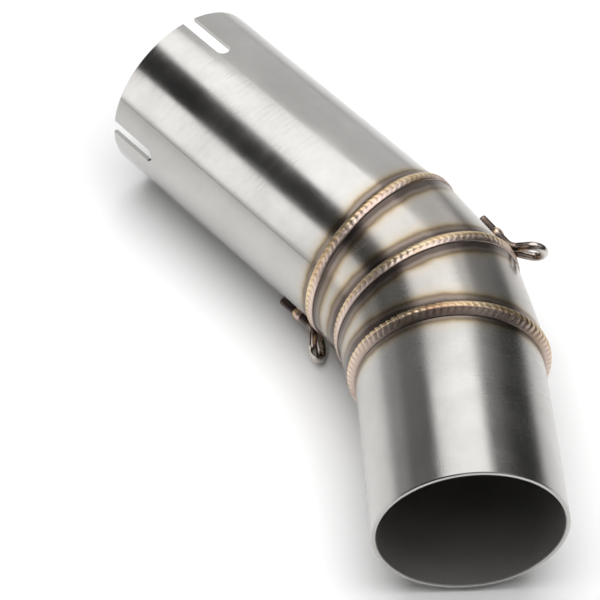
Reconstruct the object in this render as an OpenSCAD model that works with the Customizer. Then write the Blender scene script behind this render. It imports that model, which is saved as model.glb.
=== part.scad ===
// Motorcycle exhaust mid pipe: a slotted slip tube, two mitred bend segments and an
// outlet tube, butt welded into one bend, with two wire hooks for the silencer springs.
// The origin is the centre of the outlet mouth. The outlet tube runs along +Y, the bend
// lies in the XY plane and turns towards -X, and the pipe lies on its side.

/* [Tubes] */
// Outside diameter of the slip tube
slip_od = 63.5; // [58:0.5:70]
// Length of the slip tube from its weld to its slotted end
slip_len = 102.8; // [80:0.1:140]
// How far the bend segments stand out past the slip tube all round
segment_step = 0.5; // [0:0.05:1]
// Length of the upper bend segment on its axis
upper_segment_len = 26.2; // [22:0.1:40]
// Length of the lower bend segment on its axis
lower_segment_len = 27.3; // [22:0.1:40]
// Length of the outlet tube from its mouth to its weld
outlet_len = 62.9; // [50:0.1:90]
// Wall of all four tubes
wall = 1.5; // [1:0.1:1.7]
// Break on the edges of the two open ends
edge_break = 0.3; // [0.1:0.05:0.4]
// How far the outlet tube reaches into the lower segment
socket_depth = 1; // [0.5:0.1:1.2]
// Clearance round the outlet tube inside the lower segment
socket_fit = 0.25; // [0.25:0.05:0.5]
// How far the welded end of the outlet tube is turned down
spigot_cut = 0.35; // [0.32:0.01:0.5]
// How far the turned end shows past the weld bead
spigot_show = 0.5; // [0.3:0.1:1.5]

/* [Bend] */
// Turn at the weld between the slip tube and the upper segment
upper_turn = 8; // [4:0.5:11]
// Turn at the mitre between the two segments
middle_turn = 21; // [12:0.5:26]
// Turn at the weld between the lower segment and the outlet tube
lower_turn = 9; // [4:0.5:10]

/* [Slots] */
// Number of relief slots round the slip end
slot_count = 4; // [2:1:6]
// Width of a relief slot
slot_w = 5.2; // [3:0.1:8]
// Length of a relief slot to the end of its round root
slot_len = 20.5; // [12:0.5:30]
// Turn of the slots from the bend plane
slot_turn = -3.5; // [-20:0.5:20]

/* [Weld beads] */
// Width of a weld bead
bead_w = 4; // [3:0.1:5]
// Height of a weld bead above the tube
bead_h = 0.75; // [0.4:0.05:1.2]
// Distance from one ripple of a bead to the next
ripple_pitch = 2.3; // [2:0.1:4]
// Share of the bead's height lost between two ripples
ripple_depth = 0.3; // [0.1:0.05:0.5]

/* [Spring hooks] */
// Diameter of the hook wire
wire_d = 3; // [2.5:0.1:3.2]
// Distance between the two legs, centre to centre
leg_spacing = 3.8; // [3.5:0.1:4.5]
// Length of the straight legs
leg_len = 12.5; // [9:0.5:15]
// Radius of the bend between the legs and the eye
hook_bend_r = 4.8; // [4:0.1:7]
// Angle at which the eye is bent out from the legs
hook_bend = 44; // [30:1:60]
// Width of the eye, centre to centre of the wire
eye_spacing = 7; // [6:0.1:8]
// Length of the eye from the bend to its tip
eye_len = 11; // [9:0.5:15]
// Radius of the wire's turn from a leg into the eye
eye_flare_r = 2.5; // [2:0.1:4]
// Place of the outer hook round the upper segment, from the bend plane
outer_hook_angle = 14.5; // [5:0.5:25]
// Place of the outer hook's cut ends above the mitre weld
outer_hook_up = 15.5; // [14:0.5:18]
// Lift of the outer hook over the mitre bead
outer_hook_lift = 2; // [1.5:0.5:4]
// Skew of the outer hook on the segment
outer_hook_skew = -4; // [-8:1:8]
// Place of the inner hook round the slip tube, from the bend plane
inner_hook_angle = 224; // [200:1:230]
// Place of the inner hook's cut ends above the slip tube's weld
inner_hook_up = 20.5; // [19:0.5:40]
// Skew of the inner hook on the slip tube
inner_hook_skew = 4; // [-8:1:8]

/* [Tack welds] */
// Distance of a tack weld from the cut ends of its hook
tack_at = 7.8; // [5:0.1:9]
// Radius of a tack weld
tack_r = 2.5; // [2:0.1:2.8]
// Depth of a tack weld's centre below the axis of the wire
tack_drop = 0.2; // [0:0.1:0.5]

/* [Hidden] */

// Clearance of a weld from the metal that it lies on
weld_fit = 0.02;
// Clearance of a hook's wire from the tube that it lies on
hook_fit = 0.1;
// How far cutting shapes run past what they cut
past = 5;

slip_r = slip_od / 2;
segment_r = slip_r + segment_step;
outlet_r = segment_r - wall - socket_fit;
wire_r = wire_d / 2;
eye_r = eye_spacing / 2;
mitre = middle_turn / 2;

// A bead has two rings of points for each ripple: its crest and the foot before the next
ripples = round(2 * PI * segment_r / ripple_pitch);
ripple_turn = 360 / ripples;
foot_at = 0.8;
// Angles round the section of a bead, from its downstream toe over the top
section_angles = [0, 45, 90, 135, 180];
section_points = len(section_angles) + 2;
// Turn by which a ripple's ends trail its middle
ripple_trail = 0.9 * ripple_turn;

// The flat path of a hook: where its eye starts, and how far the wire leans out to it
bend_len = hook_bend_r * hook_bend * PI / 180;
eye_start = leg_len + bend_len;
tip_x = eye_len - eye_r - wire_r;
swing_y = leg_spacing / 2 + eye_flare_r;
lean = atan2(tip_x, swing_y) - acos((eye_r + eye_flare_r) / norm([tip_x, swing_y]));
bend_steps = 8;
flare_steps = 4;
eye_steps = 12;
wire_sides = 16;

tube_faces = 128;
wire_faces = 32;
steel = "#c6c3be";
bead_gold = "#bfa884";
wire_brown = "#5b4d44";

// Frames of the joints, each with +Y up the pipe along the tube above the joint
module at_outlet_weld() {
    translate([0, outlet_len, 0]) children();
}

module at_lower_segment() {
    at_outlet_weld() rotate([0, 0, lower_turn]) children();
}

module at_mitre() {
    at_lower_segment() translate([0, lower_segment_len, 0]) children();
}

module at_upper_segment() {
    at_mitre() rotate([0, 0, middle_turn]) children();
}

module at_slip_tube() {
    at_upper_segment() translate([0, upper_segment_len, 0]) rotate([0, 0, upper_turn]) children();
}

// A straight tube along +Y whose end at the origin is open and has its edges broken
module open_tube(outer_r, length) {
    inner_r = outer_r - wall;
    rotate([-90, 0, 0]) rotate_extrude($fn = tube_faces) polygon([
        [inner_r + edge_break, 0], [outer_r - edge_break, 0],
        [outer_r, edge_break], [outer_r, length],
        [inner_r, length], [inner_r, edge_break]
    ]);
}

module rod(radius, length) {
    rotate([-90, 0, 0]) cylinder(r = radius, h = length, $fn = tube_faces);
}

// A tube along +Y from one slanted cut at the origin to another at its length
module mitred_tube(length, low_cut, high_cut) {
    reach = segment_r + past;
    low_rise = reach * tan(low_cut);
    high_rise = reach * tan(high_cut);
    intersection() {
        linear_extrude(height = 2 * reach, center = true) polygon([
            [-reach, low_rise], [reach, -low_rise],
            [reach, length + high_rise], [-reach, length - high_rise]
        ]);
        translate([0, -low_rise, 0]) difference() {
            rod(segment_r, length + low_rise + high_rise);
            translate([0, -past, 0]) rod(segment_r - wall, length + low_rise + high_rise + 2 * past);
        }
    }
}

// A slot from the free end of the slip tube to its round root, cut through one wall
module relief_slot() {
    depth = slip_r + past;
    root = slot_len - slot_w / 2;
    translate([0, -past, -slot_w / 2]) cube([depth, root + past, slot_w]);
    translate([0, root, 0]) rotate([0, 90, 0]) cylinder(d = slot_w, h = depth, $fn = wire_faces);
}

module slip_tube() {
    color(steel) at_slip_tube() translate([0, slip_len, 0]) mirror([0, 1, 0]) difference() {
        open_tube(slip_r, slip_len);
        for (i = [0:slot_count - 1]) {
            rotate([0, -slot_turn - i * 360 / slot_count, 0]) relief_slot();
        }
    }
}

module bend_segment_upper() {
    color(steel) at_upper_segment() mitred_tube(upper_segment_len, mitre, upper_turn);
}

module bend_segment_lower() {
    color(steel) at_lower_segment() mitred_tube(lower_segment_len, lower_turn, mitre);
}

module outlet_tube() {
    color(steel) difference() {
        open_tube(outlet_r, outlet_len + socket_depth);
        translate([0, outlet_len - bead_w / 2 - spigot_show, 0]) difference() {
            rod(outlet_r + past, bead_w + past);
            translate([0, -past, 0]) rod(outlet_r - spigot_cut, bead_w + 3 * past);
        }
    }
}

// Where a tube of this radius, tilted by this angle, meets the plane of a weld
function weld_edge(radius, tilt, turn) =
    [(radius + weld_fit) * cos(turn) / cos(tilt), 0, (radius + weld_fit) * sin(turn)];

// One point of a bead's outside: below is the tube on the outlet's side, above the other
function bead_point(below, above, turn, section, height) =
    let (
        low_edge = weld_edge(below[0], below[1], turn),
        high_edge = weld_edge(above[0], above[1], turn),
        taller = norm(low_edge) > norm(high_edge) ? low_edge : high_edge,
        top = taller + height * [cos(turn), 0, sin(turn)],
        toe = bead_w / 2 * abs(cos(section))
    )
    section <= 90
        ? low_edge + toe * [-sin(below[1]), -cos(below[1]), 0] + sin(section) * (top - low_edge)
        : high_edge + toe * [-sin(above[1]), cos(above[1]), 0] + sin(section) * (top - high_edge);

// One ring of a bead: over the top from toe to toe, then back along the seam beneath
function bead_ring(below, above, turn, height) =
    let (trail = turn - ripple_trail)
    concat(
        [for (section = section_angles)
            bead_point(below, above, turn - ripple_trail * pow(cos(section), 2), section, height)],
        [weld_edge(above[0], above[1], trail), weld_edge(below[0], below[1], trail)]
    );

// A rippled bead round the weld between two tubes, each given as [radius, tilt]
module weld_bead(below, above) {
    rings = [for (i = [0:2 * ripples - 1])
        let (is_foot = i % 2, whole = floor(i / 2) + is_foot * foot_at)
        bead_ring(below, above, whole * ripple_turn, bead_h * (1 - is_foot * ripple_depth))];
    ring_count = len(rings);
    faces = [for (i = [0:ring_count - 1], j = [0:section_points - 1])
        let (
            next_i = (i + 1) % ring_count,
            next_j = (j + 1) % section_points,
            a = i * section_points + j,
            b = i * section_points + next_j,
            c = next_i * section_points + next_j,
            d = next_i * section_points + j
        )
        each [[a, b, c], [a, c, d]]];
    polyhedron(points = [for (ring = rings) each ring], faces = faces, convexity = 4);
}

module weld_bead_slip() {
    color(bead_gold) at_slip_tube() weld_bead([segment_r, upper_turn], [slip_r, 0]);
}

module weld_bead_mitre() {
    color(bead_gold) at_mitre() rotate([0, 0, mitre]) weld_bead([segment_r, mitre], [segment_r, mitre]);
}

module weld_bead_outlet() {
    color(bead_gold) at_outlet_weld() weld_bead([outlet_r - spigot_cut, 0], [segment_r, lower_turn]);
}

// A point of a tube's surface: +X runs along the hook's legs, down the pipe, and +Z outwards
module on_tube(radius, angle, up, skew, lift) {
    translate([0, up, 0]) rotate([0, -angle, 0]) translate([radius + wire_r + hook_fit, 0, 0])
        rotate([-90, 0, -90]) rotate([0, 0, -skew]) rotate([0, -lift, 0]) children();
}

// The two legs as straight rods of a given radius
module hook_legs(radius) {
    for (side = [-1, 1]) {
        translate([0, side * leg_spacing / 2, 0]) rotate([0, 90, 0]) cylinder(r = radius, h = leg_len, $fn = wire_faces);
    }
}

// One half of the wire's path, drawn flat: each point is [along the legs, across, heading]
function half_path() = concat(
    [[0, -leg_spacing / 2, 0]],
    [for (i = [0:bend_steps]) [leg_len + i / bend_steps * bend_len, -leg_spacing / 2, 0]],
    [for (i = [1:flare_steps])
        let (turn = i / flare_steps * lean)
        [eye_start + eye_flare_r * sin(turn), eye_flare_r * cos(turn) - swing_y, -turn]],
    [for (i = [0:eye_steps])
        let (turn = -lean + i / eye_steps * (90 + lean))
        [eye_start + tip_x + eye_r * sin(turn), -eye_r * cos(turn), turn]]
);

// The whole path: the first half, then its mirror image back to the other cut end
function whole_path(half) = concat(
    half,
    [for (i = [len(half) - 2:-1:0]) [half[i][0], -half[i][1], 180 - half[i][2]]]
);

// Angle of the bent wire at a distance along the legs
function bend_at(along) = min(max((along - leg_len) / bend_len, 0), 1) * hook_bend;

// A flat point of the path, moved to its place on the bent hook
function bent_point(along, across) =
    let (bend = bend_at(along), straight = max(along - eye_start, 0))
    [
        min(along, leg_len) + hook_bend_r * sin(bend) + straight * cos(bend), across,
        hook_bend_r * (1 - cos(bend)) + straight * sin(bend)
    ];

// One ring of the wire's outside at a point of the path
function wire_ring(point) =
    let (
        bend = bend_at(point[0]),
        side = [-sin(point[2]) * cos(bend), cos(point[2]), -sin(point[2]) * sin(bend)],
        up = [-sin(bend), 0, cos(bend)]
    )
    [for (i = [0:wire_sides - 1])
        let (turn = i * 360 / wire_sides)
        bent_point(point[0], point[1]) + wire_r * (cos(turn) * side + sin(turn) * up)];

// A hook of bent wire: two legs from the cut ends, a bend outwards and a round eye
module spring_hook() {
    rings = [for (point = whole_path(half_path())) wire_ring(point)];
    last = (len(rings) - 1) * wire_sides;
    walls = [for (i = [0:len(rings) - 2], j = [0:wire_sides - 1])
        let (a = i * wire_sides + j, b = i * wire_sides + (j + 1) % wire_sides)
        [a, b, b + wire_sides, a + wire_sides]];
    first_end = [[for (j = [wire_sides - 1:-1:0]) j]];
    last_end = [[for (j = [0:wire_sides - 1]) last + j]];
    polyhedron(points = [for (ring = rings) each ring], faces = concat(first_end, walls, last_end), convexity = 6);
}

module on_outer_place() {
    at_upper_segment() on_tube(segment_r, outer_hook_angle, outer_hook_up, outer_hook_skew, outer_hook_lift)
        children();
}

module on_inner_place() {
    at_slip_tube() on_tube(slip_r, inner_hook_angle, inner_hook_up, inner_hook_skew, 0) children();
}

module hook_outer() {
    color(wire_brown) on_outer_place() spring_hook();
}

module hook_inner() {
    color(wire_brown) on_inner_place() spring_hook();
}

// A drop of weld metal between a hook's legs, down to the tube
module tack_drop_body() {
    translate([tack_at, 0, -tack_drop]) sphere(r = tack_r, $fn = wire_faces);
}

module tack_weld_outer() {
    color(bead_gold) difference() {
        on_outer_place() tack_drop_body();
        on_outer_place() hook_legs(wire_r + weld_fit);
        at_upper_segment() rod(segment_r + weld_fit, outer_hook_up + past);
    }
}

module tack_weld_inner() {
    color(bead_gold) difference() {
        on_inner_place() tack_drop_body();
        on_inner_place() hook_legs(wire_r + weld_fit);
        at_slip_tube() rod(slip_r + weld_fit, inner_hook_up + past);
    }
}

slip_tube();
bend_segment_upper();
bend_segment_lower();
outlet_tube();
weld_bead_slip();
weld_bead_mitre();
weld_bead_outlet();
hook_outer();
hook_inner();
tack_weld_outer();
tack_weld_inner();
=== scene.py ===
from functools import partial
from math import acos, atan2, cos, hypot, pi, radians, sin

import bpy
from mathutils import Matrix, Vector


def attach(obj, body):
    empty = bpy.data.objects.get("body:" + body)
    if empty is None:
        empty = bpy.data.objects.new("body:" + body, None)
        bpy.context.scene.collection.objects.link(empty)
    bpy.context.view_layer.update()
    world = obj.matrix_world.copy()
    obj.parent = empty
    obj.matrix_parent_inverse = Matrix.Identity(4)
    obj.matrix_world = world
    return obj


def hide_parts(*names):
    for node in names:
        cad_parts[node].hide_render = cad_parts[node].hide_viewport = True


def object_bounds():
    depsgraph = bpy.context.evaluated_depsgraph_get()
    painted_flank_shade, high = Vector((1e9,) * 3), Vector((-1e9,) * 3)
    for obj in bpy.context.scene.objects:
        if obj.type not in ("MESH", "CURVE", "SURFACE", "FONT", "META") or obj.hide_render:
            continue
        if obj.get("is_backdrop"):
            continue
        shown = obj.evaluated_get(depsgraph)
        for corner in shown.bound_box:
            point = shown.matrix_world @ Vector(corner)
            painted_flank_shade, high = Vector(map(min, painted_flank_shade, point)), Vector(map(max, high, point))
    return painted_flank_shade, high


bl_info = {
    "name": "Exhaust mid pipe",
    "version": (1, 0, 0),
    "blender": (4, 5, 0),
    "location": "View3D > Sidebar > Mid pipe",
    "description": "Dresses a welded exhaust mid pipe: its beads, spring hooks and heat tint",
    "category": "Object",
}

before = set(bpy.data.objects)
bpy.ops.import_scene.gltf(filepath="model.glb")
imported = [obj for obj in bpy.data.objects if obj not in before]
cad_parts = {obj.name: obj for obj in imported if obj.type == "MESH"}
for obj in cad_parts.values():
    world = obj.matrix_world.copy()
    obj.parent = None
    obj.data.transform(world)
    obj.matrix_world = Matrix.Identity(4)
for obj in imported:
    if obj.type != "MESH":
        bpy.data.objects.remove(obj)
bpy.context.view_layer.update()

MM = 0.001
# Patch size of a noise whose place has one unit to a patch
ONE_UNIT = 1 / MM

# The tubes as the part's source has them, in millimetres and degrees from +Y
OUTLET_R = 30.5
SPIGOT_R = 30.15
SEGMENT_R = 32.25
SLIP_R = 31.75
WALL = 1.5
OUTLET_WELD = Vector((0, 62.9, 0))
LOWER_TURN = 9.0
MIDDLE_TURN = 21.0
UPPER_TURN = 8.0
LOWER_ANGLE = LOWER_TURN
UPPER_ANGLE = LOWER_TURN + MIDDLE_TURN
SLIP_ANGLE = UPPER_ANGLE + UPPER_TURN
LOWER_LENGTH = 27.3
UPPER_LENGTH = 26.2

# Section of a bead in millimetres: steps over its crest, how uneven it is, how deep its
# toes and the valley between its two rows are sunk, and its underside inside the tubes
BEAD_STEPS = 14
BEAD_WOBBLE = 0.03
TOE_SINK = 0.06
VALLEY = 0.13
UNDERSIDE = 0.3
UNDERSIDE_SHARE = 0.42
CREST_ROUNDNESS = 0.8
# Where a bead runs down to a much thinner tube: its lower crest, and the shape of its fillet
LOW_CREST_SHARE = 0.55
FILLET_SHARE = 0.8
FILLET_HOLLOW = 1.15

# Depth of each column of a ripple, from its crest to the step down to the next one, how far
# the ripples trail towards the toes, and where across the bead they end
RIPPLE_PROFILE = (0.0, 0.12, 0.32, 0.62, 1.0, 0.55)
RIPPLE_CURVE = 0.9
RIPPLE_END = 0.75
# How dark the painted shade on the long flank of the outlet bead is, from 0 to 1
OUTLET_FLANK_SHADE = 0.38

# The hooks, in millimetres
LEG_SPACING = 3.8
LEG_LENGTH = 12.5
BEND_R = 4.8
BEND = radians(44)
EYE_R = 3.5
EYE_LENGTH = 11.0
FLARE_R = 2.5
SEAT = 0.1
END_BEVEL = 0.25
BEND_STEPS = 10
FLARE_STEPS = 5
EYE_STEPS = 28

# The tack welds, in millimetres: place along the legs, size, and the rings of the puddle
TACK_AT = 7.8
TACK_R = 3.0
TACK_SHAPE = (1.0, 1.33, 0.82)
TACK_BOTTOM = -1.62
TACK_RINGS = (0.5, 1.0, 1.5)
TACK_RING_HALF = 0.13
TACK_RING_DEPTH = 0.1
TACK_WOBBLE = 0.05
# Half the width over which a tack's tint runs from its middle to its toes
TACK_TINT_HALF = 2.8
# How far the tack lies under the middle of the legs, where its heat enters the tube
TACK_DEPTH = 1.5

# The camera's place in millimetres and its turn, fitted to the outlines of the tubes
CAMERA_PLACE = (-103.49, -416.80, 600.85)
CAMERA_TURN = (
    (0.997068, 0.023835, -0.072716),
    (-0.065304, 0.760371, -0.646198),
    (0.039889, 0.649052, 0.759698),
)
CAMERA_LENS = 144.68

# Middle of the pipe, which the lights face, in metres, and the dim light all around
MIDDLE = (-0.03, 0.09, 0)
DIM_AROUND = 0.035
FLOOR_SIZE = 8


def along(angle):
    """Unit vector up the pipe along a tube that is turned from +Y by this angle."""
    return Vector((-sin(radians(angle)), cos(radians(angle)), 0))


def outward(angle):
    """Unit vector to the outside of the bend, square to a tube turned by this angle."""
    return Vector((cos(radians(angle)), sin(radians(angle)), 0))


MITRE_WELD = OUTLET_WELD + LOWER_LENGTH * along(LOWER_ANGLE)
SLIP_WELD = MITRE_WELD + UPPER_LENGTH * along(UPPER_ANGLE)


def linear(hex_colour):
    """Scene colour from an sRGB hex colour."""
    parts = [int(hex_colour[i : i + 2], 16) / 255 for i in (1, 3, 5)]
    return [p / 12.92 if p <= 0.04045 else ((p + 0.055) / 1.055) ** 2.4 for p in parts]


class MidPipeBeads(bpy.types.PropertyGroup):
    width: bpy.props.FloatProperty(
        name="Bead width", description="Width of a weld bead, toe to toe",
        default=4.3 * MM, min=3.0 * MM, max=5.0 * MM, unit="LENGTH", precision=4,
    )
    height: bpy.props.FloatProperty(
        name="Bead height", description="Height of a bead above the tube",
        default=0.72 * MM, min=0.4 * MM, max=1.2 * MM, unit="LENGTH", precision=5,
    )
    ripples: bpy.props.IntProperty(
        name="Ripples", description="Number of ripples round the pipe",
        default=88, min=40, max=140,
    )
    relief: bpy.props.FloatProperty(
        name="Ripple depth", description="Depth of the step between two ripples",
        default=0.15 * MM, min=0.0, max=0.5 * MM, unit="LENGTH", precision=5,
    )
    metal: bpy.props.FloatVectorProperty(
        name="Weld metal", description="Colour of the weld metal",
        default=linear("#dcc19a"), size=3, subtype="COLOR", min=0.0, max=1.0,
    )


class MidPipeHooks(bpy.types.PropertyGroup):
    wire: bpy.props.FloatProperty(
        name="Wire", description="Diameter of the hook wire",
        default=3.0 * MM, min=2.5 * MM, max=3.2 * MM, unit="LENGTH", precision=4,
    )
    sides: bpy.props.IntProperty(
        name="Wire sides", description="Number of faces round the wire",
        default=24, min=12, max=48,
    )
    metal: bpy.props.FloatVectorProperty(
        name="Hook wire", description="Colour of the tinted wire",
        default=linear("#d3cec9"), size=3, subtype="COLOR", min=0.0, max=1.0,
    )


class MidPipeTubes(bpy.types.PropertyGroup):
    metal: bpy.props.FloatVectorProperty(
        name="Stainless steel", description="Colour of the clean tube",
        default=linear("#bebcb9"), size=3, subtype="COLOR", min=0.0, max=1.0,
    )
    roughness: bpy.props.FloatProperty(
        name="Roughness", description="Roughness of the polished tube",
        default=0.15, min=0.02, max=0.6, subtype="FACTOR",
    )
    tint_reach: bpy.props.FloatProperty(
        name="Heat tint reach", description="How far the heat tint runs from a weld",
        default=12.0 * MM, min=4.0 * MM, max=30.0 * MM, unit="LENGTH", precision=4,
    )


class MidPipeStage(bpy.types.PropertyGroup):
    floor: bpy.props.FloatVectorProperty(
        name="Floor", description="Colour of the studio floor",
        default=linear("#efefef"), size=3, subtype="COLOR", min=0.0, max=1.0,
    )
    top_light: bpy.props.FloatProperty(
        name="Top light", description="Brightness of the softbox overhead",
        default=1.82, min=0.0,
    )
    side_light: bpy.props.FloatProperty(
        name="Side light", description="Brightness of the softbox on the left",
        default=1.7, min=0.0,
    )
    back_light: bpy.props.FloatProperty(
        name="Back light", description="Brightness of the panel behind",
        default=0.8, min=0.0,
    )
    front_light: bpy.props.FloatProperty(
        name="Front light", description="Brightness of the panels in front and on the right",
        default=0.4, min=0.0,
    )
    fill_light: bpy.props.FloatProperty(
        name="Fill light", description="Brightness of the light that falls on the floor",
        default=2.55, min=0.0,
    )


GROUPS = (MidPipeBeads, MidPipeHooks, MidPipeTubes, MidPipeStage)
GROUP_NAMES = ("mid_pipe_beads", "mid_pipe_hooks", "mid_pipe_tubes", "mid_pipe_stage")


def deselect_all():
    """Goes back to object mode with nothing selected."""
    if bpy.context.mode != "OBJECT":
        bpy.ops.object.mode_set(mode="OBJECT")
    bpy.ops.object.select_all(action="DESELECT")


def start_circle(name, sides, radius):
    """A ring of edges round +Z at the origin, open in edit mode with all of it selected."""
    deselect_all()
    bpy.ops.mesh.primitive_circle_add(
        vertices=sides, radius=radius, fill_type="NOTHING", location=(0, 0, 0), rotation=(0, 0, 0)
    )
    piece = bpy.context.active_object
    piece.name = name
    piece.data.name = name
    bpy.ops.object.mode_set(mode="EDIT")
    bpy.ops.mesh.select_mode(type="VERT")
    bpy.ops.mesh.select_all(action="SELECT")
    return piece


def extrude_ring(move):
    """Draws the selected ring out by this move."""
    bpy.ops.mesh.extrude_region_move(TRANSFORM_OT_translate={"value": tuple(move)})


def select_by(piece, wanted):
    """In edit mode, selects the vertices whose place passes a test, and counts them."""
    bpy.ops.mesh.select_all(action="DESELECT")
    bpy.ops.object.mode_set(mode="OBJECT")
    count = 0
    for vertex in piece.data.vertices:
        vertex.select = bool(wanted(vertex.co))
        count += vertex.select
    bpy.ops.object.mode_set(mode="EDIT")
    bpy.ops.mesh.select_mode(type="VERT")
    return count


def settle(piece, matrix, smooth_angle=40):
    """Leaves edit mode, puts the piece in its place and fixes that place in its mesh."""
    bpy.ops.object.mode_set(mode="EDIT")
    bpy.ops.mesh.select_all(action="SELECT")
    bpy.ops.mesh.remove_doubles(threshold=1e-6)
    bpy.ops.object.mode_set(mode="OBJECT")
    deselect_all()
    piece.select_set(True)
    bpy.context.view_layer.objects.active = piece
    piece.matrix_world = matrix
    bpy.ops.object.transform_apply(location=True, rotation=True, scale=True)
    bpy.ops.object.mode_set(mode="EDIT")
    bpy.ops.mesh.select_all(action="SELECT")
    bpy.ops.mesh.normals_make_consistent(inside=False)
    bpy.ops.object.mode_set(mode="OBJECT")
    bpy.ops.object.shade_smooth_by_angle(angle=radians(smooth_angle))
    deselect_all()


def weld_matrix(place, angle):
    """Frame of a weld: +Z up the pipe, +X to the outside of the bend."""
    z = along(angle)
    x = outward(angle)
    y = z.cross(x)
    turned = Matrix((x, y, z)).transposed().to_4x4()
    return Matrix.Translation(place * MM) @ turned


def hand_over(piece, node, material):
    """Gives the piece its material and puts it in place of a node."""
    piece.data.materials.clear()
    piece.data.materials.append(material)
    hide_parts(node)
    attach(piece, "root")


def set_inputs(tree, node, inputs):
    """Links each input to another node's output, or sets its value.

    inputs is a dict by socket, or the values in the order of the sockets.
    """
    for key, value in inputs.items() if isinstance(inputs, dict) else enumerate(inputs):
        socket = node.inputs[key]
        if isinstance(value, bpy.types.NodeSocket):
            tree.links.new(value, socket)
        else:
            socket.default_value = (*value, 1) if socket.type == "RGBA" else value


def add_node(tree, kind, inputs=(), output=0, stops=(), **settings):
    """Adds a shader node with its settings and links, and returns one of its outputs.

    stops are the positions and colours of a colour ramp.
    """
    node = tree.nodes.new("ShaderNode" + kind)
    for key, value in settings.items():
        setattr(node, key, value)
    set_inputs(tree, node, inputs)
    for number, (position, colour) in enumerate(stops):
        elements = node.color_ramp.elements
        stop = elements[number] if number < 2 else elements.new(position)
        stop.position = position
        stop.color = (*colour, 1)
    return node.outputs[output]


def start_material(name):
    """A material, its tree, its shader, a short way to add nodes, and the place on the pipe."""
    material = bpy.data.materials.new(name)
    material.use_nodes = True
    tree = material.node_tree
    tree.nodes.clear()
    add = partial(add_node, tree)
    surface = add("BsdfPrincipled")
    tree.links.new(surface, tree.nodes.new("ShaderNodeOutputMaterial").inputs["Surface"])
    return material, tree, surface.node, add, add("TexCoord", output="Object")


def patches(place, size, detail, roughness=0.55):
    """Inputs of a noise whose patches have this size in millimetres."""
    return {
        "Vector": place, "Scale": 1 / (size * MM), "Detail": detail, "Roughness": roughness
    }


def mixed(factor, first, second, blend="MIX"):
    """Inputs and settings of a colour mix."""
    return {
        "inputs": {0: factor, 6: first, 7: second}, "output": 2,
        "data_type": "RGBA", "blend_type": blend,
    }


def mix_to(first, second, share):
    """Fixed colour between two others."""
    return tuple(a + (b - a) * share for a, b in zip(first, second))


def distance_along(add, place, origin, direction):
    """Distance in millimetres from a point, measured in one direction."""
    shift = add("VectorMath", [place, tuple(origin * MM)], operation="SUBTRACT")
    metres = add(
        "VectorMath", [shift, tuple(direction)], output="Value", operation="DOT_PRODUCT"
    )
    return add("Math", [metres, 1 / MM], operation="MULTIPLY")


def distance_from(add, place, point):
    """Distance in metres from a point."""
    return add("VectorMath", [place, tuple(point)], output="Value", operation="DISTANCE")


def distance_from_heat(add, place, welds, tacks):
    """Distance in millimetres to the nearest weld or tack, made uneven by noise."""
    nearest = None
    for weld, weld_angle, extra in welds:
        far = distance_along(add, place, weld, along(weld_angle))
        far = add("Math", [far], operation="ABSOLUTE")
        far = add("Math", [far, extra], operation="SUBTRACT")
        if nearest is None:
            nearest = far
        else:
            nearest = add("Math", [nearest, far], operation="MINIMUM")
    for tack in tacks:
        span = add("Math", [distance_from(add, place, tack), 1 / MM], operation="MULTIPLY")
        nearest = add("Math", [nearest, span], operation="MINIMUM")
    broad = add("TexNoise", patches(place, 38.0, 2.0))
    fine = add("TexNoise", patches(place, 6.0, 2.0))
    broad = add("MapRange", [broad, 0.3, 0.7, -0.5, 0.5])
    fine = add("MapRange", [fine, 0.3, 0.7, -0.3, 0.3])
    uneven = add("Math", [nearest, broad], operation="ADD")
    return add("Math", [uneven, fine], operation="ADD")


# Oxide colours by millimetres from the weld, for a reach of 12 mm: a dark line at the
# bead, which is painted shade in the undercut at its toe, grey-violet, rosy brown, a brown edge,
# straw, and clean steel
TINT_REACH = 12.0
TINT_AND_TOE_SHADE = (
    (0.0, "#817671"), (2.04, "#817671"), (2.58, "#aa9f99"), (3.12, "#b6aaa2"),
    (3.6, "#b5a698"), (4.08, "#a49481"), (4.56, "#bfad95"), (5.04, "#e2d3b8"),
    (5.64, "#f5ebda"), (6.36, "#fcf8f0"), (7.68, "#fffdf9"), (9.6, "#ffffff"),
)
# Place of the lengthwise seam round the slip tube, in degrees from the outside of the bend
SEAM_AT = 154.9


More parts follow.
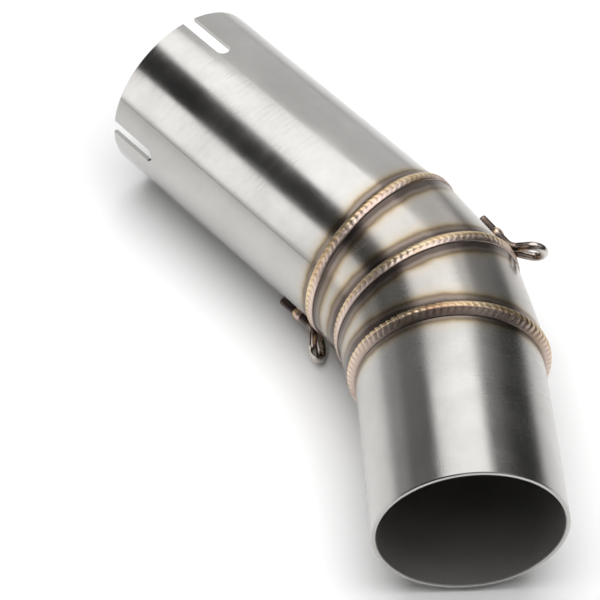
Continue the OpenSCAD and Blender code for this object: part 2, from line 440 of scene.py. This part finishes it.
def stainless_tube(
    name, origin, angle, radius, welds, tacks=(), haze=0.0, dull=0.0, handled=0.4, seam=False
):
    """Stainless steel tube, drawn and polished, tinted by its welds, with painted shade on its
    inside wall.

    The polish gives the eye long, clear reflections that the drawing lines soften. The
    heat of each weld leaves a thin oxide in bands of colour, and painted shade darkens and dulls
    the inside.

    welds lists each weld near this tube as its place, its angle and how much further
    than usual its tint reaches; tacks lists the places of tack welds; haze is the dull
    warmth left between two welds, from 0 to 1; dull is added to the roughness; handled
    is the strength of the wiping marks.
    """
    user = bpy.context.scene.mid_pipe_tubes
    material, tree, shader, add, place = start_material(name)

    # Place round and along this tube, in millimetres
    length_at = distance_along(add, place, origin, along(angle))
    out_at = distance_along(add, place, origin, outward(angle))
    height_at = distance_along(add, place, origin, Vector((0, 0, 1)))
    out_squared = add("Math", [out_at, out_at], operation="MULTIPLY")
    height_squared = add("Math", [height_at, height_at], operation="MULTIPLY")
    squares = add("Math", [out_squared, height_squared], operation="ADD")
    from_axis = add("Math", [squares], operation="SQRT")

    far = distance_from_heat(add, place, welds, tacks)
    heat = add("Math", [far, user.tint_reach / MM], operation="DIVIDE", use_clamp=True)
    # The ramp starts with painted shade, a dark line at the bead's toe, then runs through the
    # oxide colours
    tint = add(
        "ValToRGB", [heat], stops=[(at / TINT_REACH, linear(colour)) for at, colour in TINT_AND_TOE_SHADE]
    )
    clean = mix_to(tuple(user.metal), linear("#aca49b"), haze)
    colour = add("Mix", **mixed(1.0, clean, tint, "MULTIPLY"))

    # Cloudy smears where the tube was wiped and polished
    wiped = add("TexNoise", patches(place, 22.0, 4.0, 0.6))
    wiped = add("MapRange", [wiped, 0.35, 0.7, 0.88, 1.0])
    colour = add("Mix", **mixed(1.0, colour, wiped, "MULTIPLY"))

    # Painted shade on the inside wall: a dark, blotchy colour that stands in for the shade deep
    # inside the tube
    inner = radius - WALL
    inside = add("MapRange", [from_axis, inner - 0.25, inner + 0.3, 1.0, 0.0])
    painted_inner_shade = add(
        "ValToRGB", [add("TexNoise", patches(place, 16.5, 4.0))],
        stops=[(0.3, linear("#2c2926")), (0.7, linear("#403b37"))],
    )
    colour = add("Mix", **mixed(inside, colour, painted_inner_shade))

    # Drawing lines along the tube, nine to the millimetre and 20 mm long: real ones are finer
    across = [add("Math", [at, 9.0], operation="MULTIPLY") for at in (out_at, height_at)]
    onward = add("Math", [length_at, 1 / 20.0], operation="MULTIPLY")
    drawn = add("CombineXYZ", [*across, onward])
    lines = add("TexNoise", patches(drawn, ONE_UNIT, 2.0))

    # Faint marks of handling and wiping, 0.7 mm wide and 10 mm long, which run slantwise
    # round the tube in patches of 60 mm
    lean = add("Math", [height_at, 0.35], operation="MULTIPLY")
    slant = add("Math", [length_at, lean], operation="ADD")
    across = [add("Math", [at, 1 / 10.0], operation="MULTIPLY") for at in (out_at, height_at)]
    onward = add("Math", [slant, 1.5], operation="MULTIPLY")
    slantwise = add("CombineXYZ", [*across, onward])
    marks = add("TexNoise", patches(slantwise, ONE_UNIT, 3.0, 0.6))
    marks = add("MapRange", [marks, 0.52, 0.72, 0.0, handled])
    where = add("TexNoise", patches(place, 60.0, 2.0))
    where = add("MapRange", [where, 0.48, 0.62, 0.0, 1.0])
    marks = add("Math", [marks, where], operation="MULTIPLY")
    greyed = add("Math", [marks, 0.14], operation="MULTIPLY")
    colour = add("Mix", **mixed(greyed, colour, linear("#8f8a87")))

    # The polish varies in smears, and lines, marks and the inside wall roughen it
    smears = add("TexNoise", patches(place, 36.0, 4.0, 0.65))
    base = user.roughness + dull
    rough = add("MapRange", [smears, 0.3, 0.75, base - 0.03, base + 0.09])
    for more in (
        add("MapRange", [lines, 0.3, 0.7, -0.01, 0.02]),
        add("Math", [marks, 0.1], operation="MULTIPLY"),
        add("Math", [inside, 0.4], operation="MULTIPLY"),
    ):
        rough = add("Math", [rough, more], operation="ADD")

    relief = add("Math", [lines, 0.25], operation="MULTIPLY")
    if seam:
        # The tube's own lengthwise seam: a thin dull line, slightly sunk
        round_at = add("Math", [height_at, out_at], operation="ARCTAN2")
        turned = add("Math", [round_at, radians(SEAM_AT)], operation="SUBTRACT")
        turned = add("Math", [turned], operation="ABSOLUTE")
        off_seam = add("Math", [turned, radius], operation="MULTIPLY")
        on_seam = add("MapRange", [off_seam, 0.15, 0.55, 1.0, 0.0])
        skin = add("Math", [1.0, inside], operation="SUBTRACT", use_clamp=True)
        on_skin = add("Math", [on_seam, skin], operation="MULTIPLY")
        dark, coarse, sunk = (
            add("Math", [on_skin, share], operation="MULTIPLY") for share in (0.4, 0.12, 0.8)
        )
        colour = add("Mix", **mixed(dark, colour, linear("#6f6a66")))
        rough = add("Math", [rough, coarse], operation="ADD")
        relief = add("Math", [relief, sunk], operation="SUBTRACT")

    set_inputs(
        tree, shader,
        {
            "Base Color": colour,
            "Roughness": rough,
            # The inside wall is made barely metallic, so that its painted shade stays dark
            "Metallic": add("MapRange", [inside, 0.0, 1.0, 1.0, 0.15]),
            "Normal": add("Bump", {"Strength": 0.07, "Distance": 0.1 * MM, "Height": relief}),
        },
    )
    return material


def weld_metal(name, origin, angle, half=2.0, flank=0.0, ripples=0):
    """TIG weld metal, left as it froze under heat.

    It gives the eye a rippled, satin metal under a thin oxide: straw gold on the side up
    the pipe, rosy silver on the side down the pipe.

    half is half the width of the bead in millimetres. flank is the strength of the painted
    shade that darkens the long flank of a bead that runs down to a thinner tube, from 0 to 1.
    ripples is the number of steps round the pipe, which are painted browner than the crests
    between them, as shade in their notches.
    """
    metal = tuple(bpy.context.scene.mid_pipe_beads.metal)
    material, tree, shader, add, place = start_material(name)
    cloud = add("TexNoise", patches(place, 16.5, 3.0))
    past_seam = distance_along(add, place, origin, along(angle))
    from_seam = add("Math", [past_seam], operation="ABSOLUTE")
    gold = add(
        "ValToRGB", [cloud],
        stops=[
            (0.3, mix_to(metal, linear("#ab7f64"), 0.6)), (0.46, metal),
            (0.62, mix_to(metal, linear("#f4e4c0"), 0.6)),
            (0.75, mix_to(metal, linear("#a07c52"), 0.5)),
        ],
    )
    rosy = add(
        "ValToRGB", [cloud],
        stops=[(0.32, linear("#c0a597")), (0.5, linear("#e0cdc2")), (0.7, linear("#c4ab8c"))],
    )
    upper = add("MapRange", [past_seam, -0.5, 0.4, 0.0, 1.0])
    colour = add("Mix", **mixed(upper, rosy, gold))

    if ripples:
        # Painted shade, brown, in the steps between the ripples, curved like them and fading
        # towards both toes
        out_at = distance_along(add, place, origin, outward(angle))
        down_at = distance_along(add, place, origin, Vector((0, 0, -1)))
        across = add("Math", [from_seam, half], operation="DIVIDE", use_clamp=True)
        turns = add("Math", [down_at, out_at], operation="ARCTAN2")
        turns = add("Math", [turns, ripples / (2 * pi)], operation="MULTIPLY")
        curve = add("Math", [across, across], operation="MULTIPLY")
        curve = add("Math", [curve, RIPPLE_CURVE], operation="MULTIPLY")
        phase = add("Math", [turns, curve], operation="ADD")
        phase = add("Math", [phase], operation="FRACT")
        off, on = (0, 0, 0), (1, 1, 1)
        step = add(
            "ValToRGB", [phase],
            stops=[(0.0, off), (0.42, off), (0.6, on), (0.72, on), (0.92, off)],
        )
        fade = add("MapRange", [across, 0.3, 0.75, 0.5, 0.0])
        browned = add("Math", [step, fade], operation="MULTIPLY")
        colour = add("Mix", **mixed(browned, colour, linear("#7d5f50")))

    # Painted shade, brown, on the long flank, and grey-violet toes where the bead runs out into
    # the tint of the tube
    if flank:
        painted_flank_shade = add("MapRange", [past_seam, -1.3, -0.3, flank, 0.0])
        colour = add("Mix", **mixed(painted_flank_shade, colour, linear("#7d6c60")))
    toe = add("MapRange", [from_seam, 0.65 * half, 1.1 * half, 0.0, 0.75])
    colour = add("Mix", **mixed(toe, colour, linear("#6a5d5c")))

    # The skin of the frozen metal has grains of 0.1 mm, drawn as 1.1 mm to show at all
    specks = add("TexNoise", patches(place, 1.1, 2.0))
    set_inputs(
        tree, shader,
        {
            "Base Color": colour,
            "Roughness": add("MapRange", [specks, 0.3, 0.7, 0.3, 0.42]),
            "Metallic": 1.0,
            "Normal": add("Bump", {"Strength": 0.2, "Distance": 0.08 * MM, "Height": specks}),
        },
    )
    return material


def tinted_wire(name, heat_at):
    """Stainless steel wire, drawn bright and browned by the torch.

    It gives the eye small sharp highlights on a dark warm metal, blue-grey nearest the
    tack and clean at the eye of the hook.
    """
    metal = tuple(bpy.context.scene.mid_pipe_hooks.metal)
    material, tree, shader, add, place = start_material(name)
    wander = add("TexNoise", patches(place, 3.8, 3.0))
    wander = add("MapRange", [wander, 0.3, 0.7, -1.6 * MM, 1.6 * MM])
    far = add("Math", [distance_from(add, place, heat_at), wander], operation="ADD")
    heat = add("Math", [far, 22 * MM], operation="DIVIDE", use_clamp=True)
    colour = add(
        "ValToRGB", [heat],
        stops=[
            (0.0, linear("#a58a66")), (0.13, linear("#474146")), (0.26, linear("#51453e")),
            (0.42, mix_to(metal, linear("#6f5c50"), 0.85)),
            (0.6, mix_to(metal, linear("#a8917f"), 0.5)), (0.85, metal),
        ],
    )

    # Marks of the drawing die and of bending, under 0.1 mm, drawn as 1.4 mm to show at all
    marks = add("TexNoise", patches(place, 1.4, 3.0))
    set_inputs(
        tree, shader,
        {
            "Base Color": colour,
            "Roughness": add("MapRange", [marks, 0.3, 0.7, 0.14, 0.26]),
            "Metallic": 1.0,
            "Normal": add("Bump", {"Strength": 0.1, "Distance": 0.05 * MM, "Height": marks}),
        },
    )
    return material


def floor_paper(colour):
    """Matt background paper, pressed smooth: it gives the eye an even pale floor."""
    material, tree, shader, add, place = start_material("Matt floor paper")
    cloud = add("TexNoise", patches(place, 330.0, 2.0))
    tone = add(
        "ValToRGB", [cloud], stops=[(0.3, mix_to(colour, (0, 0, 0), 0.015)), (0.7, colour)]
    )
    set_inputs(tree, shader, {"Base Color": tone, "Roughness": 0.9, "Specular IOR Level": 0.1})
    return material


def bead_rings(below, above, width, height):
    """Rings of a bead from its lower toe over the crest to its upper toe, then underneath.

    Each tube is (radius, tilt against the weld). A ring is (half width out, half width
    up, shift outwards, height up the pipe).
    """
    rings = []
    if abs(below[0] - above[0]) > 2 * height:
        height *= LOW_CREST_SHARE
    crest_out = max(radius / cos(radians(tilt)) for radius, tilt in (below, above)) + height
    crest_up = max(below[0], above[0]) + height
    for i in range(BEAD_STEPS + 1):
        section = pi * i / BEAD_STEPS
        at_toe = i in (0, BEAD_STEPS)
        (radius, tilt), side = (below, -1) if section <= pi / 2 else (above, 1)
        edge_out = radius / cos(radians(tilt))
        toe = width / 2 * abs(cos(section))
        share = 0 if at_toe else sin(section) ** CREST_ROUNDNESS
        if crest_up - radius > 2 * height and not at_toe:
            # Run down to a much thinner tube as a fillet, not as a round shoulder
            hollow = (1 - abs(cos(section))) ** FILLET_HOLLOW
            share = (1 - FILLET_SHARE) * share + FILLET_SHARE * hollow
        sunk = TOE_SINK if at_toe else 0
        if i == BEAD_STEPS // 2:
            # The two rows of the bead meet in a shallow valley
            sunk = VALLEY
        rings.append(
            (
                edge_out + (crest_out - edge_out) * share - sunk,
                radius + (crest_up - radius) * share - sunk,
                side * toe * sin(radians(tilt)), side * toe * cos(radians(tilt)),
            )
        )

    # The underside, just inside the surfaces of the two tubes
    for (radius, tilt), side in ((above, 1), (below, -1)):
        edge_out = radius / cos(radians(tilt))
        rings.append(
            (edge_out - UNDERSIDE, radius - UNDERSIDE, 0, side * width * UNDERSIDE_SHARE)
        )
    return rings


def make_bead(name, place, angle, below, above, seed):
    """Draws out the rings of a bead one after another and steps its surface into ripples."""
    user = bpy.context.scene.mid_pipe_beads
    columns = len(RIPPLE_PROFILE)
    sides = user.ripples * columns
    rings = bead_rings(below, above, user.width / MM, user.height / MM)
    ripple = 2 * pi / user.ripples
    out, up, shift, rise = rings[0]
    piece = start_circle(name, sides, MM)
    bpy.ops.transform.resize(value=(out, up, 1), center_override=(0, 0, 0))
    bpy.ops.transform.translate(value=(shift * MM, 0, rise * MM))
    last = rings[0]
    for ring in rings[1:]:
        extrude_ring(((ring[2] - last[2]) * MM, 0, (ring[3] - last[3]) * MM))
        centre = (ring[2] * MM, 0, ring[3] * MM)
        bpy.ops.transform.resize(
            value=(ring[0] / last[0], ring[1] / last[1], 1), center_override=centre
        )
        last = ring
    bpy.ops.mesh.select_all(action="SELECT")
    bpy.ops.object.mode_set(mode="OBJECT")
    close_ring_ends()

    # Sink the columns of each ripple
    relief = user.relief / MM
    crest = max(r[0] for r in rings)
    for column, depth in enumerate(RIPPLE_PROFILE):
        if not depth:
            continue

        def in_column(co, column=column):
            off_ring = hypot(co.x, co.y) / MM
            if off_ring < min(below[0], above[0]) + 0.02:
                return False
            across = min(abs(co.z) / MM / (user.width / MM / 2), 1.0)
            if across > RIPPLE_END:
                return False
            turn = atan2(co.y, co.x) + RIPPLE_CURVE * ripple * across * across
            return round(turn / ripple * columns) % columns == column

        if select_by(piece, in_column):
            share = 1 - relief * depth / crest
            bpy.ops.transform.resize(value=(share, share, 1), center_override=(0, 0, 0))
    bpy.ops.mesh.select_all(action="SELECT")
    bpy.ops.transform.vertex_random(offset=BEAD_WOBBLE * MM, uniform=0.0, normal=0.0, seed=seed)
    settle(piece, weld_matrix(place, angle), 60)
    return piece


def close_ring_ends():
    """Joins the first and the last ring of a bead into a closed section."""
    bpy.ops.object.mode_set(mode="EDIT")
    bpy.ops.mesh.select_mode(type="EDGE")
    bpy.ops.mesh.select_all(action="DESELECT")
    bpy.ops.mesh.select_non_manifold(
        extend=False, use_wire=False, use_boundary=True, use_multi_face=False,
        use_non_contiguous=False, use_verts=False,
    )
    bpy.ops.mesh.bridge_edge_loops()
    bpy.ops.mesh.select_mode(type="VERT")


class MIDPIPE_OT_make_beads(bpy.types.Operator):
    """Model the three rippled weld beads and put them in place"""

    bl_idname = "midpipe.make_beads"
    bl_label = "Make weld beads"

    def execute(self, context):
        mitre = MIDDLE_TURN / 2
        beads = (
            ("weld_bead_slip", "bead_at_slip_tube", SLIP_WELD, SLIP_ANGLE,
             (SEGMENT_R, UPPER_TURN), (SLIP_R, 0.0)),
            ("weld_bead_mitre", "bead_at_mitre", MITRE_WELD, LOWER_ANGLE + mitre,
             (SEGMENT_R, mitre), (SEGMENT_R, mitre)),
            ("weld_bead_outlet", "bead_at_outlet_tube", OUTLET_WELD, 0.0,
             (SPIGOT_R, 0.0), (SEGMENT_R, LOWER_TURN)),
        )
        user = context.scene.mid_pipe_beads
        for seed, (node, name, place, angle, below, above) in enumerate(beads):
            material = weld_metal(
                "TIG weld metal, " + name, place, angle, user.width / MM / 2,
                OUTLET_FLANK_SHADE if below[0] < OUTLET_R else 0.0, user.ripples,
            )
            piece = make_bead(name, place, angle, below, above, seed + 1)
            hand_over(piece, node, material)
        return {"FINISHED"}


HOOKS = (
    # node of the hook, node of its tack, tube radius, tube place, tube angle,
    # turn round the tube, cut ends up the tube, skew, lift
    ("hook_outer", "tack_weld_outer", SEGMENT_R, MITRE_WELD, UPPER_ANGLE, 14.5, 15.5, -4.0, 2.0),
    ("hook_inner", "tack_weld_inner", SLIP_R, SLIP_WELD, SLIP_ANGLE, 224.0, 20.5, 4.0, 0.0),
)


def turn_about(axis, angle):
    """Turn in degrees about an axis of the frame."""
    return Matrix.Rotation(radians(angle), 4, axis)


def hook_matrix(hook):
    """Frame of a hook: +X along its legs, +Z away from the tube, origin between its cut ends."""
    _, _, radius, place, angle, round_at, up, skew, lift = hook
    wire_r = bpy.context.scene.mid_pipe_hooks.wire / MM / 2
    return (
        Matrix.Translation(place * MM) @ turn_about("Z", angle)
        @ Matrix.Translation((0, up * MM, 0)) @ turn_about("Y", -round_at)
        @ Matrix.Translation(((radius + wire_r + SEAT) * MM, 0, 0))
        @ turn_about("Z", -90) @ turn_about("X", -90)
        @ turn_about("Z", -skew) @ turn_about("Y", -lift)
    )


def spin_ring(centre, axis, angle, steps):
    """Spins the selected ring by the right-hand rule.

    With no window open the operator turns the other way, so the axis is reversed.
    """
    bpy.ops.mesh.spin(
        steps=steps, angle=angle, center=tuple(Vector(centre) * MM), axis=tuple(-Vector(axis)),
        dupli=False, use_auto_merge=False, use_normal_flip=False,
    )


def make_hook(name, hook):
    """Bends one wire into a hook: a leg, a bend, half of the eye, then its mirror image."""
    user = bpy.context.scene.mid_pipe_hooks
    wire_r = user.wire / MM / 2
    tip_x = EYE_LENGTH - EYE_R - wire_r
    swing_y = LEG_SPACING / 2 + FLARE_R
    lean = atan2(tip_x, swing_y) - acos((EYE_R + FLARE_R) / hypot(tip_x, swing_y))
    run = (tip_x - (EYE_R + FLARE_R) * sin(lean)) / cos(lean)

    half = LEG_SPACING / 2
    bend_centre = Vector((LEG_LENGTH, 0, BEND_R))
    eye_start = Vector((LEG_LENGTH + BEND_R * sin(BEND), 0, BEND_R * (1 - cos(BEND))))
    ahead = Vector((cos(BEND), 0, sin(BEND)))
    across = Vector((0, 1, 0))
    off_eye = Vector((-sin(BEND), 0, cos(BEND)))

    piece = start_circle(name, user.sides, wire_r * MM)
    bpy.ops.transform.rotate(value=pi / 2, orient_axis="Y", center_override=(0, 0, 0))
    bpy.ops.transform.translate(value=(0, -half * MM, 0))
    extrude_ring((LEG_LENGTH * MM, 0, 0))
    spin_ring(bend_centre - half * across, (0, -1, 0), BEND, BEND_STEPS)
    spin_ring(eye_start - swing_y * across, tuple(-off_eye), lean, FLARE_STEPS)
    extrude_ring((cos(lean) * ahead - sin(lean) * across) * run * MM)
    spin_ring(eye_start + tip_x * ahead, tuple(off_eye), pi + 2 * lean, EYE_STEPS)
    extrude_ring(-(cos(lean) * ahead + sin(lean) * across) * run * MM)
    spin_ring(eye_start + swing_y * across, tuple(-off_eye), lean, FLARE_STEPS)
    spin_ring(bend_centre + half * across, (0, 1, 0), BEND, BEND_STEPS)
    extrude_ring((-LEG_LENGTH * MM, 0, 0))
    bpy.ops.mesh.select_all(action="SELECT")
    bpy.ops.mesh.remove_doubles(threshold=1e-6)
    bpy.ops.mesh.fill_holes(sides=0)
    settle(piece, hook_matrix(hook))

    # The sawn ends have their edges broken
    piece.select_set(True)
    bpy.context.view_layer.objects.active = piece
    edges = piece.modifiers.new("Broken edges", "BEVEL")
    edges.width = END_BEVEL * MM
    edges.segments = 2
    edges.limit_method = "ANGLE"
    edges.angle_limit = radians(60)
    bpy.ops.object.modifier_apply(modifier=edges.name)
    bpy.ops.object.shade_smooth_by_angle(angle=radians(40))
    deselect_all()
    return piece


def make_tack(name, hook, seed):
    """A lump of weld metal between the legs, with sunk rings and flat underneath."""
    deselect_all()
    bpy.ops.mesh.primitive_ico_sphere_add(subdivisions=5, radius=TACK_R * MM, location=(0, 0, 0))
    piece = bpy.context.active_object
    piece.name = name
    piece.data.name = name
    bpy.ops.object.mode_set(mode="EDIT")
    bpy.ops.mesh.select_all(action="SELECT")
    bpy.ops.transform.resize(value=TACK_SHAPE, center_override=(0, 0, 0))

    # Ripples left as the puddle froze
    for ring in TACK_RINGS:

        def on_ring(co, ring=ring):
            return co.z > 0 and abs(hypot(co.x, co.y) / MM - ring) < TACK_RING_HALF

        select_by(piece, on_ring)
        bpy.ops.transform.translate(value=(0, 0, -TACK_RING_DEPTH * MM))
    bpy.ops.mesh.select_all(action="SELECT")
    bpy.ops.transform.vertex_random(offset=TACK_WOBBLE * MM, uniform=0.0, normal=0.0, seed=seed)
    bpy.ops.mesh.vertices_smooth(factor=0.4, repeat=2)
    bpy.ops.mesh.bisect(
        plane_co=(0, 0, TACK_BOTTOM * MM), plane_no=(0, 0, -1), clear_outer=True
    )
    bpy.ops.mesh.select_all(action="SELECT")
    bpy.ops.mesh.fill_holes(sides=0)
    bpy.ops.mesh.select_all(action="SELECT")
    bpy.ops.transform.translate(value=(TACK_AT * MM, 0, 0))
    settle(piece, hook_matrix(hook), 60)
    return piece


class MIDPIPE_OT_make_hooks(bpy.types.Operator):
    """Bend the two wire hooks and put them in place on the pipe"""

    bl_idname = "midpipe.make_hooks"
    bl_label = "Make spring hooks"

    def execute(self, context):
        for hook, name in zip(HOOKS, ("wire_hook_outside", "wire_hook_inside")):
            heat_at = hook_matrix(hook) @ Vector((TACK_AT * MM, 0, 0))
            material = tinted_wire("Heat-tinted stainless wire, " + name, heat_at)
            hand_over(make_hook(name, hook), hook[0], material)
        return {"FINISHED"}


class MIDPIPE_OT_make_tacks(bpy.types.Operator):
    """Model the tack weld that holds each hook"""

    bl_idname = "midpipe.make_tacks"
    bl_label = "Make tack welds"

    def execute(self, context):
        for seed, (hook, name) in enumerate(zip(HOOKS, ("tack_outside", "tack_inside"))):
            piece = make_tack(name, hook, seed + 5)
            material = weld_metal(
                "TIG weld metal, " + name, piece_centre(piece), hook[4], TACK_TINT_HALF
            )
            hand_over(piece, hook[1], material)
        return {"FINISHED"}


def piece_centre(piece):
    """Mean place of a piece's vertices, in millimetres."""
    total = Vector((0, 0, 0))
    for vertex in piece.data.vertices:
        total += vertex.co
    return total / len(piece.data.vertices) / MM


class MIDPIPE_OT_finish_tubes(bpy.types.Operator):
    """Give the four tubes their stainless finish, heat tint and painted shade inside"""

    bl_idname = "midpipe.finish_tubes"
    bl_label = "Finish tubes"

    def execute(self, context):
        mitre_angle = LOWER_ANGLE + MIDDLE_TURN / 2
        tack_place = Vector((TACK_AT * MM, 0, -TACK_DEPTH * MM))
        tack_at = [hook_matrix(hook) @ tack_place for hook in HOOKS]
        finishes = {
            "slip_tube": stainless_tube(
                "Polished stainless steel, slip tube", SLIP_WELD, SLIP_ANGLE, SLIP_R,
                [(SLIP_WELD, SLIP_ANGLE, 0.0)], tack_at[1:], handled=0.6, seam=True,
            ),
            "bend_segment_upper": stainless_tube(
                "Polished stainless steel, upper segment", MITRE_WELD, UPPER_ANGLE, SEGMENT_R,
                [(MITRE_WELD, mitre_angle, 0.9), (SLIP_WELD, SLIP_ANGLE, 1.9)], tack_at[:1],
                haze=0.35, dull=0.03,
            ),
            "bend_segment_lower": stainless_tube(
                "Polished stainless steel, lower segment", OUTLET_WELD, LOWER_ANGLE, SEGMENT_R,
                [(OUTLET_WELD, 0.0, 0.9), (MITRE_WELD, mitre_angle, 1.8)],
                haze=0.35, dull=0.05,
            ),
            "outlet_tube": stainless_tube(
                "Polished stainless steel, outlet tube", Vector((0, 0, 0)), 0.0, OUTLET_R,
                [(OUTLET_WELD, 0.0, 0.0)], dull=0.07,
            ),
        }
        for node, material in finishes.items():
            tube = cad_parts[node]
            if not tube.material_slots:
                raise RuntimeError(node + " has no material slot")
            for slot in tube.material_slots:
                slot.material = material
        return {"FINISHED"}


def area_light(name, place, target, width, depth, radiance, seen_in_metal=True):
    """A softbox of a given brightness, facing a point."""
    deselect_all()
    bpy.ops.object.light_add(type="AREA", location=place)
    light = bpy.context.active_object
    light.name = name
    light.data.shape = "RECTANGLE"
    light.data.size = width
    light.data.size_y = depth
    light.data.energy = radiance * pi * width * depth
    light.rotation_euler = (Vector(target) - Vector(place)).to_track_quat("-Z", "Y").to_euler()
    light.visible_camera = False
    light.visible_glossy = seen_in_metal


def softbox_at(azimuth, elevation, distance):
    """A point seen from the pipe in this direction, in degrees from +X and above the floor."""
    flat = distance * cos(radians(elevation))
    return (
        MIDDLE[0] + flat * cos(radians(azimuth)), MIDDLE[1] + flat * sin(radians(azimuth)),
        distance * sin(radians(elevation)),
    )


def studio_world(brightness):
    """An even dim light from all around."""
    world = bpy.data.worlds.new("Dim studio")
    world.use_nodes = True
    background = world.node_tree.nodes["Background"]
    background.inputs["Color"].default_value = (1, 1, 1, 1)
    background.inputs["Strength"].default_value = brightness
    bpy.context.scene.world = world


class MIDPIPE_OT_set_stage(bpy.types.Operator):
    """Set the floor, the soft studio light and the camera"""

    bl_idname = "midpipe.set_stage"
    bl_label = "Set stage"

    def execute(self, context):
        user = context.scene.mid_pipe_stage
        floor_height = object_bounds()[0].z
        deselect_all()
        bpy.ops.mesh.primitive_plane_add(size=FLOOR_SIZE, location=(0, 0, floor_height))
        floor = context.active_object
        floor.name = "Floor"
        bpy.ops.object.transform_apply(location=True, rotation=True, scale=True)
        floor.data.materials.append(floor_paper(tuple(user.floor)))
        floor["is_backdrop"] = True

        context.scene.view_settings.view_transform = "Standard"
        studio_world(DIM_AROUND)
        # The softbox overhead hangs level, behind the pipe
        over, under = (-0.128, 0.388, 1.0), (-0.128, 0.388, 0)
        area_light("Top softbox", over, under, 1.095, 1.195, user.top_light)
        # Panels by azimuth, elevation and distance, then width, depth and brightness
        for name, place, width, depth, radiance in (
            ("Left softbox", (-178.5, 13, 1.0), 0.34, 0.64, user.side_light),
            ("Back panel", (76, 22.5, 1.3), 0.76, 1.36, user.back_light),
            ("Right back panel", (53, 18, 1.3), 0.38, 1.1, 0.27),
            ("Left back panel", (142, 6.5, 1.3), 0.65, 0.42, 0.38),
            ("Upper left back panel", (134.5, 26, 1.3), 0.58, 0.47, 0.17),
            ("Front panel", (-75, 30, 1.6), 1.3, 0.8, user.front_light),
            ("Right softbox", (-8, 54, 1.2), 0.5, 0.9, 1.7 * user.front_light),
        ):
            area_light(name, softbox_at(*place), MIDDLE, width, depth, radiance)
        area_light(
            "Floor fill", (-0.03, 0.05, 0.36), MIDDLE, 0.46, 0.46, user.fill_light,
            seen_in_metal=False,
        )

        deselect_all()
        bpy.ops.object.camera_add()
        camera = context.active_object
        camera.name = "Product camera"
        camera.data.sensor_width = 36
        camera.data.lens = CAMERA_LENS
        camera.data.clip_start = 0.05
        camera.data.clip_end = 50
        turned = Matrix(CAMERA_TURN).to_4x4()
        camera.matrix_world = Matrix.Translation(Vector(CAMERA_PLACE) * MM) @ turned
        context.scene.camera = camera
        return {"FINISHED"}


class MIDPIPE_PT_panel(bpy.types.Panel):
    """Sizes, colours and steps of the mid pipe"""

    bl_idname = "MIDPIPE_PT_panel"
    bl_label = "Exhaust mid pipe"
    bl_space_type = "VIEW_3D"
    bl_region_type = "UI"
    bl_category = "Mid pipe"

    def draw(self, context):
        layout = self.layout
        for group, name in zip(GROUPS, GROUP_NAMES):
            box = layout.box()
            for key in group.__annotations__:
                box.prop(getattr(context.scene, name), key)
        for operator in STEPS:
            layout.operator(operator.bl_idname)


STEPS = (
    MIDPIPE_OT_finish_tubes,
    MIDPIPE_OT_make_beads,
    MIDPIPE_OT_make_hooks,
    MIDPIPE_OT_make_tacks,
    MIDPIPE_OT_set_stage,
)


def register():
    for group, name in zip(GROUPS, GROUP_NAMES):
        bpy.utils.register_class(group)
        setattr(bpy.types.Scene, name, bpy.props.PointerProperty(type=group))
    for step in STEPS:
        bpy.utils.register_class(step)
    bpy.utils.register_class(MIDPIPE_PT_panel)


def unregister():
    bpy.utils.unregister_class(MIDPIPE_PT_panel)
    for step in reversed(STEPS):
        bpy.utils.unregister_class(step)
    for group, name in zip(reversed(GROUPS), reversed(GROUP_NAMES)):
        delattr(bpy.types.Scene, name)
        bpy.utils.unregister_class(group)


def main():
    register()
    bpy.ops.midpipe.finish_tubes()
    bpy.ops.midpipe.make_beads()
    bpy.ops.midpipe.make_hooks()
    bpy.ops.midpipe.make_tacks()
    bpy.ops.midpipe.set_stage()


if __name__ == "__main__":
    main()
